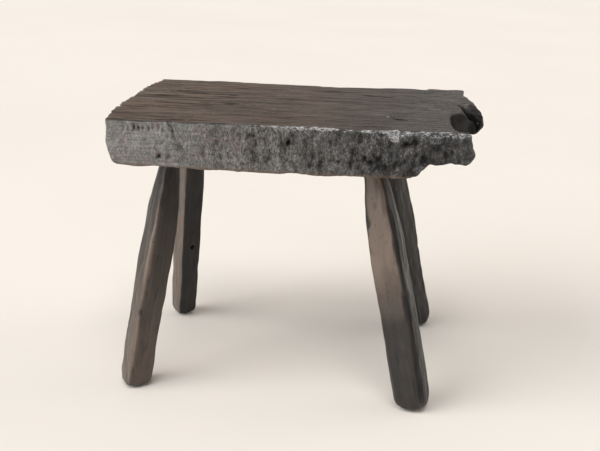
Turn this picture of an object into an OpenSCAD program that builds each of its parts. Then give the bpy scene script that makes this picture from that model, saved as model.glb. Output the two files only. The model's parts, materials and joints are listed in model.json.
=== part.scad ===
// Wooden milking stool: a thick slab seat with one sound end and one worn, hollowed end, carried on
// four hewn and splayed legs. Each leg ends in a tapered tenon in a stopped socket, locked by a
// wedge. The origin is on the floor under the middle of the stool, +X runs along the seat towards
// the worn end, +Y points to the back and +Z is up. Millimetres.

/* [Seat] */
// Overall length of the seat, from the sound end to the outside of the worn lip
seat_length = 424; // [404:1:444]
// Width of the slab from front to back
seat_width = 257; // [245:1:265]
// Thickness of the slab
seat_thickness = 53.5; // [50:0.5:58]
// Height of the seat's top above the floor
seat_height = 333; // [310:1:350]

/* [Sound end] */
// How far the middle of the sound end bows out past its corners
end_bow = 8; // [4:0.5:12]
// Radius that undercuts the sound end towards the underside
undercut_radius = 100; // [80:1:120]
// Depth below the top at which the undercut starts
undercut_start = 11; // [6:1:20]

/* [Worn end] */
// Length of the thinned underside at the worn end
thin_length = 60; // [50:1:70]
// Height by which the worn end is thinned from below
thin_rise = 18; // [12:1:22]
// Half of the length of the rounded lip along the end
lip_half_length = 85; // [75:1:90]
// Radius of the rounded lip
lip_radius = 14; // [12:0.5:16]
// How far the lip stands out past the slab
lip_overhang = 19; // [15:0.5:21]
// Depth of the lip's crest below the top
lip_drop = 3; // [2:0.5:5]
// Place of the middle of the lip from the seat's centre line, positive to the back
lip_offset = 2; // [-10:1:10]
// Radius of the worn hollow beside the lip
hollow_radius = 40; // [36:1:46]
// Depth of the worn hollow below the top
hollow_depth = 17; // [12:1:20]
// Length of the straight middle of the hollow
hollow_run = 60; // [40:1:70]
// Place of the middle of the hollow from the seat's centre line, positive to the back
hollow_offset = -32; // [-36:1:-20]
// Width of the open split between the hollow and the lip
split_width = 5; // [3:0.5:7]
// Length of the split from its start in the top to its end in the lip
split_length = 92; // [80:1:100]
// Depth of the split below the top
split_depth = 24; // [18:1:28]
// Turn of the split away from the direction across the seat
split_turn = 6; // [0:1:10]
// Thickness of the thin tongue left at the back corner
tongue_thickness = 9; // [6:0.5:12]
// Width of the tongue from the slab's back face
tongue_width = 22; // [18:1:26]
// How far the tongue reaches past the slab's worn end
tongue_reach = 3; // [1:0.5:5]
// Width of the small notch beside the front corner
notch_width = 8; // [5:1:12]
// Depth of the small notch beside the front corner
notch_depth = 2; // [1:0.5:3]

/* [Legs] */
// Front left leg: centre of its socket's mouth, x and y
front_left_socket = [-147, -66]; // [-160:1:160]
// Front left leg: centre of its sole, x and y
front_left_foot = [-187, -105]; // [-195:1:195]
// Front left leg: width and depth of the billet
front_left_billet = [32, 33]; // [30:1:40]
// Front left leg: turn of the billet's faces about the leg
front_left_turn = 36; // [0:1:90]
// Front right leg: centre of its socket's mouth, x and y
front_right_socket = [88, -66]; // [-160:1:160]
// Front right leg: centre of its sole, x and y
front_right_foot = [145, -114]; // [-195:1:195]
// Front right leg: width and depth of the billet
front_right_billet = [38, 33]; // [30:1:40]
// Front right leg: turn of the billet's faces about the leg
front_right_turn = -15; // [-90:1:90]
// Back left leg: centre of its socket's mouth, x and y
back_left_socket = [-151, 62]; // [-160:1:160]
// Back left leg: centre of its sole, x and y
back_left_foot = [-178, 104]; // [-195:1:195]
// Back left leg: width and depth of the billet
back_left_billet = [31, 30]; // [30:1:40]
// Back left leg: turn of the billet's faces about the leg
back_left_turn = 43; // [-90:1:90]
// Back right leg: centre of its socket's mouth, x and y
back_right_socket = [98, 62]; // [-160:1:160]
// Back right leg: centre of its sole, x and y
back_right_foot = [152, 116]; // [-195:1:195]
// Back right leg: width and depth of the billet
back_right_billet = [31, 32]; // [30:1:40]
// Back right leg: turn of the billet's faces about the leg
back_right_turn = -38; // [-90:1:90]
// Chamfer cut along the four corners of each billet
billet_chamfer = 5; // [3:0.5:8]
// Radius that rounds a leg's foot
dome_radius = 24; // [23:0.5:27]
// Height of the foot's rounding centre above the floor
dome_height = 20; // [18:0.5:21]
// Length of the round neck between a leg's shoulder and the seat
neck_length = 18; // [10:1:24]
// Length of the shoulder that thins a leg to its neck
shoulder_length = 56; // [40:1:70]

/* [Tenons] */
// Radius of the neck, and of a tenon where it enters the seat
tenon_root_radius = 13; // [12:0.5:14]
// Radius of a tenon at its tip
tenon_tip_radius = 11.5; // [10:0.5:12]
// Length of a tenon inside the seat
tenon_length = 37; // [30:1:40]
// Gap around a tenon in its socket
socket_gap = 0.1; // [0.05:0.05:0.3]
// Gap between a tenon's tip and the end of its socket
tip_gap = 1; // [0.5:0.5:3]

/* [Wedges] */
// Length of a wedge along its tenon
wedge_length = 24; // [18:1:28]
// Thickness of a wedge at its thick end
wedge_thick = 4.5; // [3:0.5:6]
// Thickness of a wedge at its thin end
wedge_thin = 1.2; // [0.8:0.1:2]
// Width of a wedge across its tenon
wedge_width = 18; // [14:1:19]

/* [Hidden] */
$fn = 96;
seat_wood = [0.17, 0.14, 0.12];
leg_wood = [0.15, 0.14, 0.13];
wedge_wood = [0.45, 0.33, 0.2];
arc_steps = 8;
corner_steps = 4;
margin = 20;
underside = seat_height - seat_thickness;
half_length = seat_length / 2;
half_width = seat_width / 2;
slab_end = half_length - lip_overhang;
end_radius = (half_width ^ 2 + end_bow ^ 2) / (2 * end_bow);
corner_radius = 6;
lip_bend = (lip_half_length ^ 2 + lip_overhang ^ 2) / (2 * lip_overhang);
lip_angle = asin(lip_half_length / lip_bend);
lip_height = seat_height - lip_drop - lip_radius;
tongue_bay = 7;
tongue_corner = 2;
gap_inset = 10;
hollow_inset = 8;
kerf_slack = 0.05;
end_steps = 720;
lip_steps = 360;

// Moves its children from a leg's own frame, whose axis is +Z with z = 0 at the socket's mouth, to
// the line that runs from the middle of the rounded foot up to the socket.
module on_leg(socket, foot, turn) {
    rise = underside - dome_height;
    lean = [socket.x - foot.x, socket.y - foot.y];
    heading = atan2(lean.y, lean.x);
    translate([socket.x, socket.y, underside])
        rotate([0, atan2(norm(lean), rise), heading])
            rotate([0, 0, turn - heading])
                children();
}

function leg_length(socket, foot) =
    norm([socket.x - foot.x, socket.y - foot.y, underside - dome_height]);

// The worn plan of the slab: straight front and back, rounded corners at the sound end, a short
// tongue at the back of the worn end and a small notch beside its front corner.
module slab_plan() {
    far = -half_length - margin;
    corner_y = half_width - corner_radius;
    corner_x = end_bow * (corner_y / half_width) ^ 2 + corner_radius - half_length;
    front_corner = [
        for (i = [0:corner_steps])
            let (a = 180 + 90 * i / corner_steps)
                [corner_x + corner_radius * cos(a), -corner_y + corner_radius * sin(a)]
    ];
    back_corner = [for (i = [corner_steps:-1:0]) [front_corner[i].x, -front_corner[i].y]];
    tongue_end = slab_end + tongue_reach;
    worn_end = [
        [slab_end - 1, -half_width],
        [slab_end - 1 - notch_depth, -half_width + notch_width],
        [slab_end - 1, -half_width + 2 * notch_width],
        [slab_end, half_width - 2 * tongue_width],
        [slab_end - tongue_bay, half_width - tongue_width],
        [tongue_end, half_width - tongue_width / 2],
        [tongue_end, half_width - tongue_corner],
        [tongue_end - tongue_corner, half_width]
    ];
    polygon(concat([[far, -corner_y]], front_corner, worn_end, back_corner, [[far, corner_y]]));
}

// A disc whose rim is the bowed and undercut sound end, as seen from the middle of its bow.
module bowed_end() {
    undercut_z = seat_height - undercut_start;
    undercut_angle = asin((undercut_z - underside) / undercut_radius);
    rim = [
        for (i = [0:arc_steps])
            let (a = undercut_angle * (1 - i / arc_steps))
                [end_radius - undercut_radius * (1 - cos(a)), undercut_z - undercut_radius * sin(a)]
    ];
    translate([end_radius - half_length, 0, 0])
        rotate_extrude($fn = end_steps)
            polygon(concat([[0, underside]], rim, [[end_radius, seat_height], [0, seat_height]]));
}

// The slab before any wear.
module sound_slab() {
    intersection() {
        bowed_end();
        translate([0, 0, underside]) linear_extrude(seat_thickness) slab_plan();
    }
}

// The rounded lip, bent in plan along the worn end. Its ends run into the slab.
module lip() {
    translate([half_length - lip_bend, lip_offset, lip_height])
        rotate([0, 0, -lip_angle])
            rotate_extrude(angle = 2 * lip_angle, $fn = lip_steps)
                translate([lip_bend - lip_radius, 0]) circle(lip_radius);
}

// What has been lost under the worn end, with a broken slope where the thinning starts.
module thinning() {
    start = slab_end - thin_length;
    break_run = thin_rise / 6;
    break_rise = thin_rise * 0.3;
    slope_run = thin_rise * 0.9;
    below = underside - 1;
    translate([0, half_width + margin, 0])
        rotate([90, 0, 0])
            linear_extrude(seat_width + 2 * margin)
                polygon([
                    [start, below],
                    [start + break_run, underside + break_rise],
                    [start + slope_run, underside + thin_rise],
                    [half_length + margin, underside + thin_rise],
                    [half_length + margin, below]
                ]);
}

// The hollow worn into the top beside the lip: a round-ended scoop.
module hollow() {
    axis_z = seat_height + hollow_radius - hollow_depth;
    translate([slab_end + hollow_inset, hollow_offset, axis_z]) {
        rotate([90, 0, 0]) cylinder(r = hollow_radius, h = hollow_run, center = true);
        for (side = [-1, 1]) translate([0, side * hollow_run / 2, 0]) sphere(hollow_radius);
    }
}

// The open split that parts the lip from the rest of the seat.
module split() {
    split_x = slab_end - 0.4 * lip_radius;
    split_y = hollow_offset + 0.4 * hollow_radius;
    translate([split_x, split_y, seat_height - split_depth])
        rotate([0, 0, split_turn])
            translate([-split_width / 2, -split_length / 2, 0])
                cube([split_width, split_length, split_depth + margin]);
}

// The gap under the tongue at the back of the worn end.
module tongue_gap() {
    translate([slab_end - gap_inset, half_width - 2 * tongue_width, underside - margin])
        cube([margin, 2 * tongue_width + margin, seat_thickness + margin - tongue_thickness]);
}

module socket(place, foot) {
    taper = (tenon_root_radius - tenon_tip_radius) / tenon_length;
    depth = tenon_length + tip_gap;
    on_leg(place, foot, 0)
        translate([0, 0, -margin])
            cylinder(
                h = margin + depth,
                r1 = tenon_root_radius + socket_gap + margin * taper,
                r2 = tenon_tip_radius + socket_gap - tip_gap * taper
            );
}

module seat() {
    color(seat_wood)
        difference() {
            union() {
                difference() {
                    sound_slab();
                    thinning();
                    hollow();
                    tongue_gap();
                }
                lip();
            }
            split();
            socket(front_left_socket, front_left_foot);
            socket(front_right_socket, front_right_foot);
            socket(back_left_socket, back_left_foot);
            socket(back_right_socket, back_right_foot);
        }
}

// A squared billet with its four corners hewn off.
module billet(size, length) {
    x = size.x / 2;
    y = size.y / 2;
    c = billet_chamfer;
    translate([0, 0, -length])
        linear_extrude(length + tenon_length)
            polygon([
                [x - c, -y], [x, c - y], [x, y - c], [x - c, y],
                [c - x, y], [-x, y - c], [-x, c - y], [c - x, -y]
            ]);
}

// The shape that a leg is dressed to: a rounded foot, a straight shaft, a shoulder, a neck and a
// tapered tenon.
module dressed_envelope(length) {
    shoulder_end = neck_length + shoulder_length;
    translate([0, 0, -length]) sphere(dome_radius);
    translate([0, 0, -length]) cylinder(r = dome_radius, h = length - shoulder_end);
    translate([0, 0, -shoulder_end])
        cylinder(r1 = dome_radius, r2 = tenon_root_radius, h = shoulder_length);
    translate([0, 0, -neck_length]) cylinder(r = tenon_root_radius, h = neck_length);
    cylinder(r1 = tenon_root_radius, r2 = tenon_tip_radius, h = tenon_length);
}

// A wedge's outline in its leg's frame, seen along its width and grown by slack on both cheeks.
module wedge_outline(slack) {
    thick = wedge_thick / 2 + slack;
    thin = wedge_thin / 2 + slack;
    base = tenon_length - wedge_length;
    polygon([[-thin, base], [thin, base], [thick, tenon_length], [-thick, tenon_length]]);
}

module leg(place, foot, size, turn) {
    length = leg_length(place, foot);
    color(leg_wood)
        difference() {
            on_leg(place, foot, turn)
                difference() {
                    intersection() {
                        billet(size, length + dome_radius);
                        dressed_envelope(length);
                    }
                    rotate([90, 0, 0])
                        linear_extrude(4 * tenon_root_radius, center = true)
                            wedge_outline(kerf_slack);
                }
            translate([foot.x - 2 * dome_radius, foot.y - 2 * dome_radius, -4 * dome_radius])
                cube(4 * dome_radius);
        }
}

module wedge(place, foot, turn) {
    color(wedge_wood)
        on_leg(place, foot, turn)
            rotate([90, 0, 0])
                linear_extrude(wedge_width, center = true)
                    wedge_outline(0);
}

module leg_front_left() {
    leg(front_left_socket, front_left_foot, front_left_billet, front_left_turn);
}

module leg_front_right() {
    leg(front_right_socket, front_right_foot, front_right_billet, front_right_turn);
}

module leg_back_left() {
    leg(back_left_socket, back_left_foot, back_left_billet, back_left_turn);
}

module leg_back_right() {
    leg(back_right_socket, back_right_foot, back_right_billet, back_right_turn);
}

module wedge_front_left() {
    wedge(front_left_socket, front_left_foot, front_left_turn);
}

module wedge_front_right() {
    wedge(front_right_socket, front_right_foot, front_right_turn);
}

module wedge_back_left() {
    wedge(back_left_socket, back_left_foot, back_left_turn);
}

module wedge_back_right() {
    wedge(back_right_socket, back_right_foot, back_right_turn);
}

seat();
leg_front_left();
leg_front_right();
leg_back_left();
leg_back_right();
wedge_front_left();
wedge_front_right();
wedge_back_left();
wedge_back_right();
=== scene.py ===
"""Looks of the wooden milking stool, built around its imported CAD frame.

The slab and the four legs are signed distance fields with grain ridges, chips, pits and cracks,
and one mesh is drawn round each. Fields and sizes are in millimetres, and Blender objects are in
metres, in the frame of the CAD model.
"""

import functools
import json
import math

import bpy
import numpy as np
from mathutils import Euler, Matrix, Vector


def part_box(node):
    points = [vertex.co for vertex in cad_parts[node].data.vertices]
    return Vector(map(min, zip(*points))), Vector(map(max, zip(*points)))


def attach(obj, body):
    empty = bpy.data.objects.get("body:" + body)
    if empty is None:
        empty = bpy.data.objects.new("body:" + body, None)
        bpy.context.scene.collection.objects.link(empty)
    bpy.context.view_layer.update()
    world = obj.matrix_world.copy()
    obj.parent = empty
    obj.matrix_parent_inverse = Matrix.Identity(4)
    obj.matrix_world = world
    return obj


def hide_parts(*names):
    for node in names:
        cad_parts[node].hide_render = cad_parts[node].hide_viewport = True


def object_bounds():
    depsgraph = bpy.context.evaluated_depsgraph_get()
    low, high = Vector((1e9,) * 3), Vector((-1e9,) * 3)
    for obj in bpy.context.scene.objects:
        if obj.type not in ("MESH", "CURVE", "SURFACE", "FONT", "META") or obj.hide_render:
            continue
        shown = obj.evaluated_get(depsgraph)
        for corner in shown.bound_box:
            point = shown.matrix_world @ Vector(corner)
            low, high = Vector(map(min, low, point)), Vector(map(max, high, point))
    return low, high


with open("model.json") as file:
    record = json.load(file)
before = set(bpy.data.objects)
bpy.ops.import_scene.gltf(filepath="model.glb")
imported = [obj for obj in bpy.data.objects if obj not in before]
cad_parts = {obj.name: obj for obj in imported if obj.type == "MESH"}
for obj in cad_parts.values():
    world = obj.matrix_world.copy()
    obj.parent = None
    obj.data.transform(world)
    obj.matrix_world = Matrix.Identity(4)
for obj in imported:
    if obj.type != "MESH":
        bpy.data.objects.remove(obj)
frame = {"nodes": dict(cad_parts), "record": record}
CAD_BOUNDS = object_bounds()

MM = 0.001
SEAT_STEP = 1.2
LEG_STEP = 1.0
MAX_TRIANGLES = 190000

# Sizes that the looks share with the CAD design, in millimetres.
SEAT_LOW = [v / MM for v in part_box("seat")[0]]
SEAT_HIGH = [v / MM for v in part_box("seat")[1]]
LEFT, RIGHT = SEAT_LOW[0], SEAT_HIGH[0]
FRONT, BACK = SEAT_LOW[1], SEAT_HIGH[1]
UNDERSIDE, TOP = SEAT_LOW[2], SEAT_HIGH[2]
WEDGE_LENGTH = 24.0
TENON_LENGTH = 37.0
TENON_ROOT_RADIUS = 13.0
TENON_TIP_RADIUS = 11.5
DOME_HEIGHT = 20.0
SOCKET_GAP = 0.4

# A field is averaged this far round each point, to tell edges from hollows.
EDGE_BLUR = 3.5
# The spread that a spline through random values keeps on each axis.
SPLINE_SPREAD = 0.692


# -------- Sampled fields --------


def spline_weights(coords, low, cell, count):
    """Cubic B-spline weights that spread count random values, cell apart, over coords."""
    t = (coords - low) / cell
    base = np.clip(np.floor(t).astype(int), 0, count - 4)
    f = t - base
    weights = np.stack(
        [(1 - f) ** 3, 3 * f**3 - 6 * f**2 + 4, -3 * f**3 + 3 * f**2 + 3 * f + 1, f**3], 1
    )
    matrix = np.zeros((len(coords), count), np.float32)
    for k in range(4):
        matrix[np.arange(len(coords)), base + k] = weights[:, k] / 6
    return matrix


class Grid:
    """A box of regularly spaced sample points, with repeatable noise over it."""

    def __init__(self, low, high, step):
        self.low = np.array(low, float)
        self.high = np.array(high, float)
        self.step = step
        counts = np.ceil((self.high - self.low) / step).astype(int) + 1
        self.axes = [self.low[i] + step * np.arange(counts[i]) for i in range(3)]
        wide = np.meshgrid(*self.axes, indexing="ij", sparse=True)
        self.x, self.y, self.z = [w.astype(np.float32) for w in wide]

    def noise(self, cell, seed):
        """Smooth noise of unit spread. cell is its grain size on each axis, None for no change."""
        counts = [
            1 if c is None else int((self.high[i] - self.low[i]) / c) + 8
            for i, c in enumerate(cell)
        ]
        values = np.random.default_rng(seed).normal(size=counts).astype(np.float32)
        spread = 1.0
        for i, c in enumerate(cell):
            if c is None:
                continue
            weights = spline_weights(self.axes[i], self.low[i] - c, c, counts[i])
            values = np.moveaxis(np.tensordot(weights, values, (1, i)), 0, i)
            spread *= SPLINE_SPREAD
        return values / spread

    def sample(self, values, points):
        """Values at points inside the box, by trilinear interpolation."""
        t = (points - self.low) / self.step
        limit = np.array(values.shape) - 2
        base = np.clip(np.floor(t).astype(int), 0, limit)
        f = t - base
        total = np.zeros(len(points))
        for corner in range(8):
            offset = np.array([corner & 1, corner >> 1 & 1, corner >> 2 & 1])
            weight = np.prod(np.where(offset, f, 1 - f), axis=1)
            i, j, k = (base + offset).T
            total += weight * values[i, j, k]
        return total

    def gradient(self, values, points):
        """The slope of values along x, y and z at points."""
        half = self.step / 2
        parts = []
        for i in range(3):
            shift = np.zeros(3)
            shift[i] = half
            parts.append(self.sample(values, points + shift) - self.sample(values, points - shift))
        return np.stack(parts, 1) / self.step


def smooth_max(a, b, width):
    """The larger of a and b, rounded where they are within width of each other."""
    near = np.maximum(width - np.abs(a - b), 0) / width
    return np.maximum(a, b) + near * near * width * 0.25


def smooth_min(a, b, width):
    return -smooth_max(-a, -b, width)


def merged(blend, fields, width):
    """All the fields as one, blended in turn with smooth_max or smooth_min."""
    return functools.reduce(lambda a, b: blend(a, b, width), fields)


def ramp(value, start, end):
    """0 at start and before, 1 at end and after, with an eased middle."""
    t = np.clip((value - start) / (end - start), 0, 1)
    return t * t * (3 - 2 * t)


def blurred(values, radius):
    """A box blur over radius samples each way."""
    for axis in range(3):
        padded = np.pad(values, [(radius + 1, radius) if i == axis else (0, 0) for i in range(3)],
                        mode="edge")
        summed = np.cumsum(padded, axis=axis, dtype=np.float64)
        count = values.shape[axis]
        upper = np.take(summed, np.arange(count) + 2 * radius + 1, axis=axis)
        lower = np.take(summed, np.arange(count), axis=axis)
        values = ((upper - lower) / (2 * radius + 1)).astype(np.float32)
    return values


def segment_distance(u, v, start, end):
    """Distance from the points (u, v) to a segment, and how far along it the nearest point is."""
    du = end[0] - start[0]
    dv = end[1] - start[1]
    t = np.clip(((u - start[0]) * du + (v - start[1]) * dv) / (du * du + dv * dv), 0, 1)
    return np.hypot(u - start[0] - t * du, v - start[1] - t * dv), t


# -------- From a field to a mesh --------


def surface_net(values, grid):
    """One vertex in each cell that the surface crosses, and one quad round each crossed edge."""
    inside = values < 0
    cells = tuple(n - 1 for n in values.shape)
    corners = [(i, j, k) for i in (0, 1) for j in (0, 1) for k in (0, 1)]
    filled = np.zeros(cells, np.uint8)
    for i, j, k in corners:
        filled += inside[i:i + cells[0], j:j + cells[1], k:k + cells[2]]
    where = np.argwhere((filled > 0) & (filled < 8))
    index = np.full(cells, -1, np.int64)
    index[tuple(where.T)] = np.arange(len(where))

    at = {c: values[tuple((where + np.array(c)).T)] for c in corners}
    total = np.zeros((len(where), 3))
    crossings = np.zeros(len(where))
    for a in corners:
        for axis in range(3):
            if a[axis]:
                continue
            b = tuple(1 if i == axis else a[i] for i in range(3))
            crossed = (at[a] < 0) != (at[b] < 0)
            t = np.where(crossed, at[a] / np.where(crossed, at[a] - at[b], 1), 0)
            point = np.array(a, float)[None, :].repeat(len(where), 0)
            point[:, axis] = t
            total += point * crossed[:, None]
            crossings += crossed
    points = grid.low + grid.step * (where + total / crossings[:, None])

    quads = []
    for axis in range(3):
        after = np.take(inside, np.arange(1, inside.shape[axis]), axis=axis)
        before = np.take(inside, np.arange(inside.shape[axis] - 1), axis=axis)
        i, j, k = np.nonzero(after != before)
        spot = np.stack([i, j, k], 1)
        leaves = before[i, j, k]
        first, second = (axis + 1) % 3, (axis + 2) % 3
        safe = (spot[:, first] > 0) & (spot[:, second] > 0)
        safe &= (spot[:, first] < cells[first]) & (spot[:, second] < cells[second])
        spot, leaves = spot[safe], leaves[safe]
        ring = []
        for back_first, back_second in ((1, 1), (0, 1), (0, 0), (1, 0)):
            cell = spot.copy()
            cell[:, first] -= back_first
            cell[:, second] -= back_second
            ring.append(index[tuple(cell.T)])
        quad = np.stack(ring, 1)
        quad[~leaves] = quad[~leaves][:, ::-1]
        quads.append(quad)
    return points, np.concatenate(quads)


def largest_part(points, quads):
    """Drops every loose crumb, so that one closed surface is left."""
    label = np.arange(len(points))
    edges = np.concatenate([quads[:, [0, 1]], quads[:, [1, 2]], quads[:, [2, 3]]])
    while True:
        smaller = np.minimum(label[edges[:, 0]], label[edges[:, 1]])
        new = label.copy()
        np.minimum.at(new, edges[:, 0], smaller)
        np.minimum.at(new, edges[:, 1], smaller)
        new = new[new]
        if np.array_equal(new, label):
            break
        label = new
    keep = label == np.bincount(label).argmax()
    renumber = np.cumsum(keep) - 1
    return points[keep], renumber[quads[keep[quads[:, 0]]]]


def add_object(name, data):
    made = bpy.data.objects.new(name, data)
    bpy.context.scene.collection.objects.link(made)
    return made


def mesh_object(name, points, quads):
    mesh = bpy.data.meshes.new(name)
    mesh.vertices.add(len(points))
    mesh.vertices.foreach_set("co", (points * MM).astype(np.float32).ravel())
    mesh.loops.add(quads.size)
    mesh.loops.foreach_set("vertex_index", quads.astype(np.int32).ravel())
    mesh.polygons.add(len(quads))
    mesh.polygons.foreach_set("loop_start", np.arange(0, quads.size, 4, dtype=np.int32))
    mesh.polygons.foreach_set("use_smooth", np.ones(len(quads), bool))
    mesh.update(calc_edges=True)
    mesh.validate()
    return add_object(name, mesh)


def thin_out(piece, target):
    """Collapses the flattest faces until the piece has about target triangles."""
    triangles = sum(len(p.vertices) - 2 for p in piece.data.polygons)
    if triangles <= target:
        return
    modifier = piece.modifiers.new("thin", "DECIMATE")
    modifier.ratio = target / triangles
    graph = bpy.context.evaluated_depsgraph_get()
    thinned = bpy.data.meshes.new_from_object(piece.evaluated_get(graph))
    piece.modifiers.remove(modifier)
    piece.data = thinned
    piece.data.name = piece.name


def store(mesh, name, values, kind="FLOAT"):
    """Keeps one value or one vector for each vertex, for the material to read."""
    attribute = mesh.attributes.new(name, kind, "POINT")
    field = "vector" if kind == "FLOAT_VECTOR" else "value"
    attribute.data.foreach_set(field, np.asarray(values, np.float32).ravel())


def carve(name, grid, field, marks, to_frame):
    """Draws the mesh of a field, snaps it to the surface and stores what its material needs: the
    place in the grain, how far the wood stands out there and each field of marks."""
    points, quads = surface_net(field, grid)
    points, quads = largest_part(points, quads)
    for _ in range(2):
        slope = grid.gradient(field, points)
        steep = np.maximum((slope**2).sum(1), 0.2)
        move = -(grid.sample(field, points) / steep)[:, None] * slope
        points = points + np.clip(move, -grid.step / 2, grid.step / 2)
    piece = mesh_object(name, points, quads)
    thin_out(piece, MAX_TRIANGLES)
    mesh = piece.data
    local = np.zeros(len(mesh.vertices) * 3, np.float32)
    mesh.vertices.foreach_get("co", local)
    local = local.reshape(-1, 3) / MM
    radius = max(1, round(EDGE_BLUR / grid.step))
    store(mesh, "grain", local, "FLOAT_VECTOR")
    store(mesh, "edge", grid.sample(blurred(field, radius), local))
    for key, values in marks.items():
        store(mesh, key, grid.sample(np.broadcast_to(values, field.shape), local))
    mesh.transform(to_frame)
    return piece


# -------- The seat --------

# The upper front edge is worn from here to the worn end, whose broken face is at WORN_END.
WEAR_START = -60.0
WORN_END = RIGHT - 19

# The worn grain repeats at this distance across the slab.
RIDGE_SPACING = 16

# How far the corners of the sound end lie back, and how fast its face leans in below.
END_BOW = 9
END_UNDERCUT = 0.0042

# The underside of the worn end has broken away in two steps.
THINNING_START = WORN_END - 61.5
THINNING_STEPS = (12, 6.5)

# A gash in the upper front edge: where it begins, is deepest and ends, and its depth.
GASH_START, GASH_MIDDLE, GASH_END = 90, 112, 117
GASH_DEPTH = 2.8

# Pits in the front face: x, z, half width, half height and depth.
FRONT_PITS = [
    (-122, 304, 5, 6, 4.0),
    (-145, 293, 4, 5, 1.6),
    (-134, 293, 3, 6, 1.8),
    (-97, 300, 4, 6, 2.0),
    (-42, 320, 6, 4, 2.2),
    (-38, 297, 6, 9, 3.0),
    (-5, 309, 6, 10, 3.6),
    (49, 295, 10, 4, 1.2),
    (85, 296, 9, 5, 2.6),
    (103, 290, 7, 5, 3.0),
    (122, 317, 7, 5, 3.6),
    (131, 320, 5, 6, 4.0),
    (144, 302, 8, 6, 3.4),
    (152, 316, 9, 3, 1.8),
]

# Cracks in the front face: points x, z along each one, then its half width and depth.
FRONT_CRACKS = [
    ([(-133, 333), (-129, 322), (-127, 312)], 1.8, 2.4),
    ([(-77, 310), (-76, 298), (-75, 284)], 0.9, 1.6),
    ([(-3, 316), (-6, 304), (-2, 292)], 1.1, 2.2),
    ([(-181, 310), (-150, 311), (-112, 309)], 0.7, 0.8),
    ([(24, 299), (52, 296), (74, 298)], 0.8, 0.8),
    ([(148, 318), (166, 320), (184, 319)], 0.9, 1.4),
]

# The rounded lip along the worn end, which sinks towards the front: points on its centre line and
# its radius there.
LIP_LINE = [
    (185, 112, 318.5, 10.5),
    (191, 97, 319, 11.5),
    (194.5, 70, 319, 12.5),
    (198, 35, 319, 12.5),
    (201, 17, 318, 12.5),
    (200.5, 4, 316.5, 12.0),
    (196.5, -8, 314, 8.5),
]

# The open split that runs over the lip: points on its mouth and its half width there.
SPLIT_LINE = [
    (181, 36, 331.5, 0.7),
    (184.6, 28, 331, 1.3),
    (188, 19, 330.5, 2.2),
    (191, 9, 329, 3.0),
    (195, 1, 327, 3.6),
    (199, -4, 323, 4.0),
    (203, -7, 319, 3.8),
    (209, -10, 313, 3.4),
]

# Polished spots beside the split, painted pale as glints (painted highlights): x, y, z and radius.
SHINES = [
    (193.7, 31.7, 331, 2.4),
    (191.4, 27, 330, 1.8),
    (194, -12, 324, 1.5),
    (202.6, -15, 316, 1.6),
    (205.5, -5, 318, 1.2),
    (180, -19, 332, 1.8),
]

# Marks in the top: start and end in plan, width and depth.
TOP_CRACKS = [
    ((62, 71), (86, 62), 4.4, 6.0),
    ((80, 64), (106, 61), 3.4, 4.0),
    ((106, -67), (123, -69), 5.0, 5.0),
    ((120, 40), (172, 34), 1.0, 2.5),
    ((-30, 96), (40, 93), 0.9, 2.0),
]

# The row of tool marks high on the sound end's front.
ADZE_X = np.arange(-184, -134, 5.6)
ADZE_Z = 324

# The pocket worn into the top: its middle, which lies above the top, and half its size in x, y, z.
POCKET_X, POCKET_Y, POCKET_RISE = 194, -66, 5
POCKET_HALF = (24, 56, 27)

# The thin crest that parts the pocket from the split. It is a slanting line in plan, and falls
# away towards the worn end. Past it the wood rises again to the lip.
CREST_ACROSS = (0.9375, 0.3516)
CREST_DISTANCE = 177.0
CREST_HALF_WIDTH = 4
CREST_START = 185
CREST_FALL = 0.92
LIP_RISE = 1.2

# The thin sliver along the back of the worn end, and the gap beneath it.
SLIVER_START = 150
SLIVER_FRONT = 98
GAP_FRONT = 88

# A small splinter that stands up beside the gouge.
SPLINTER_X, SPLINTER_Y = 103, -57
SPLINTER_HALF = (8, 2.2, 1.8)

# Pale scrapes on the top: start and end in plan, and half width.
TOP_SCRAPES = [
    ((37, 12), (28, -8), 1.6),
    ((28, -8), (21, -24), 1.4),
    ((20, -58), (17, -66), 1.5),
    ((150, 0), (173, -5), 2.2),
    ((98, -60), (107, -56), 1.8),
]

# A scuffed patch of the top.
SCUFF_X, SCUFF_Y, SCUFF_RADIUS = 93, -63, 26


def polyline_distance(u, v, points):
    """Distance from the points (u, v) to a chain of segments."""
    parts = [segment_distance(u, v, start, end)[0] for start, end in zip(points, points[1:])]
    return functools.reduce(np.minimum, parts)


def grain_ridges(grid):
    """Rows of worn grain along the slab, with a wide and a narrow ridge in each spacing."""
    wander = grid.noise((150, 30, None), 10)
    phase = 2 * math.pi * grid.y / RIDGE_SPACING + 1.9 * wander
    fine = 0.5 * grid.noise((120, 4.5, None), 11)
    return 0.62 * np.cos(phase) + 0.42 * np.cos(2 * phase + 1) + fine


def top_surface(grid):
    """Height of the top and its fine relief: ridges that fade from the sound end, and fibres."""
    fade = 1 - 0.8 * ramp(grid.x, -170, 40)
    fibres = grid.noise((45, 2.4, None), 12)
    broad = grid.noise((80, 55, None), 13)
    dents = np.minimum(grid.noise((12, 8, None), 14) + 1.7, 0)
    rough = ramp(grid.x, 20, 190) * grid.noise((7, 5, None), 15)
    dish = 0.9 * (1 - ramp(np.abs(grid.x + 10), 0, 190)) * (1 - ramp(np.abs(grid.y), 0, 120))
    relief = 0.7 * fade * grain_ridges(grid) + 0.22 * fibres + 0.6 * dents + 0.25 * rough
    return TOP - 0.5 - dish + 0.4 * broad + relief, relief


def front_wear(grid):
    """How rough the front face is, least at the sound end."""
    return 0.42 + 0.3 * ramp(grid.x, -125, WEAR_START) + 0.5 * ramp(grid.x, -50, 80)


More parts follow.
